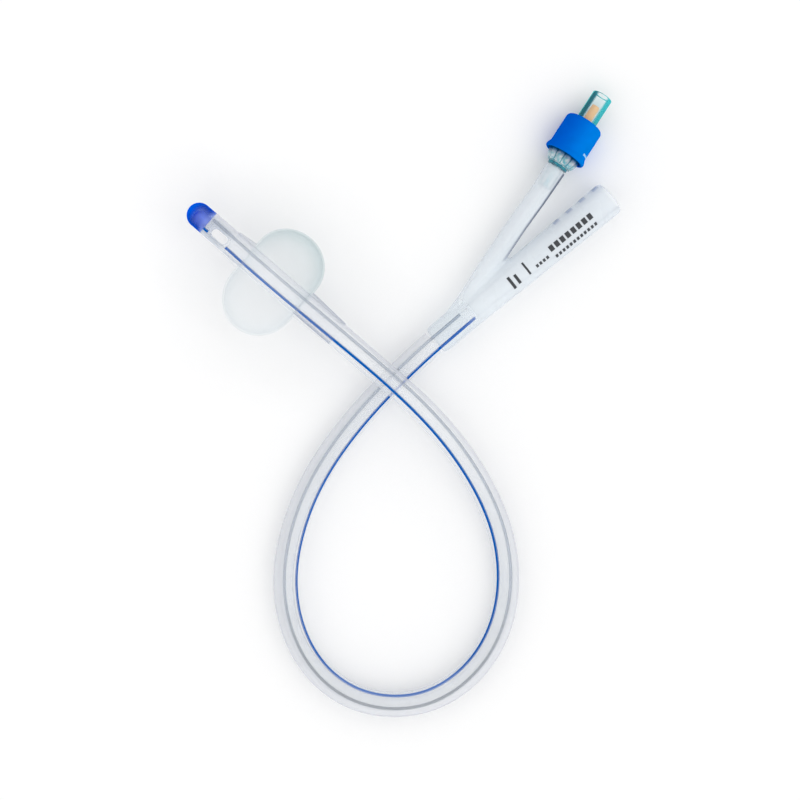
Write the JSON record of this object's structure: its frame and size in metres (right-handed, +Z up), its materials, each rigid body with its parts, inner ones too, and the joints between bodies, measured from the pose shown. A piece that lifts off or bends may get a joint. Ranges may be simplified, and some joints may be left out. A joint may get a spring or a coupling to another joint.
{
  "type": "foley urinary catheter",
  "caption": "Clear silicone balloon catheter in a loop, with blue tip and X-ray line, filled balloon, drainage funnel and sprung inflation valve.",
  "frame": {"origin": "below the middle of the object's box, on the surface that the catheter lies on", "axes": "+Z up, away from that surface; +Y along the drainage funnel, out of its mouth; +X to the side, with the tip and the balloon towards -X"},
  "size_m": [0.1751, 0.1939, 0.0364],
  "materials": {
    "silicone": "clear, smooth",
    "silicone_film": "clear, satin",
    "tip_blue": "smooth",
    "stripe_blue": "smooth",
    "teal_plastic": "clear, polished",
    "sleeve_blue": "satin",
    "tan_plastic": "satin",
    "seal_rubber": "matte",
    "spring_steel": "drawn wire"
  },
  "bodies": {
    "catheter": {"shaft": "silicone", "tip": "tip_blue", "xray_line": "stripe_blue", "xray_line_end": "stripe_blue", "balloon": "silicone_film", "bifurcation": "silicone", "valve_base": "teal_plastic", "valve_body": "teal_plastic", "valve_sleeve": "sleeve_blue", "valve_spring": "spring_steel"},
    "plunger": {"valve_plunger": "tan_plastic", "valve_seal": "seal_rubber"}
  },
  "joints": [
    {"name": "valve_press", "type": "slide", "parent": "catheter", "child": "plunger", "axis": [0.3003, -0.9525, 0.051], "range_m": [0, 0.0015], "stiffness_N_per_m": 400, "springref_m": -0.0025, "deforming": ["valve_spring"]}
  ]
}
